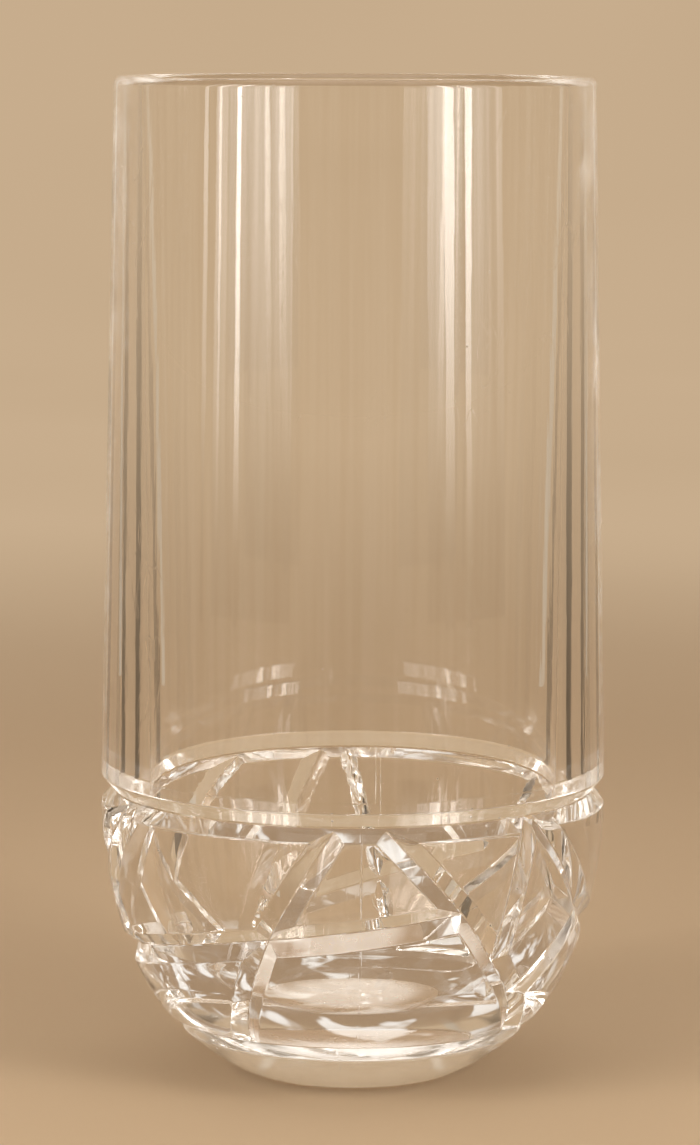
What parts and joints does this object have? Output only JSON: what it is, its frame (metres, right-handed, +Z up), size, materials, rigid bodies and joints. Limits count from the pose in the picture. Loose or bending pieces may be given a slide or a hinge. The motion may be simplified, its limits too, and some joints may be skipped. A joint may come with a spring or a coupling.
{
  "type": "acrylic tumbler",
  "caption": "Tall clear tumbler: a plain tapered barrel cemented at a V-shaped ring groove onto a thick rounded bowl with crossing V cuts and a small flat foot, for cold drinks.",
  "frame": {"origin": "middle of the flat foot, on the surface the tumbler stands on", "axes": "+Z up along the axis of the barrel, -Y towards the front of the picture, +X to its right"},
  "size_m": [0.079, 0.079, 0.1556],
  "materials": {
    "clear_acrylic": "water-clear moulded acrylic, polished gloss",
    "cured_cement": "clear solvent cement, cured"
  },
  "bodies": {
    "root": {"barrel": "clear_acrylic", "cut_bowl": "clear_acrylic", "cement_ring": "cured_cement"}
  },
  "joints": []
}
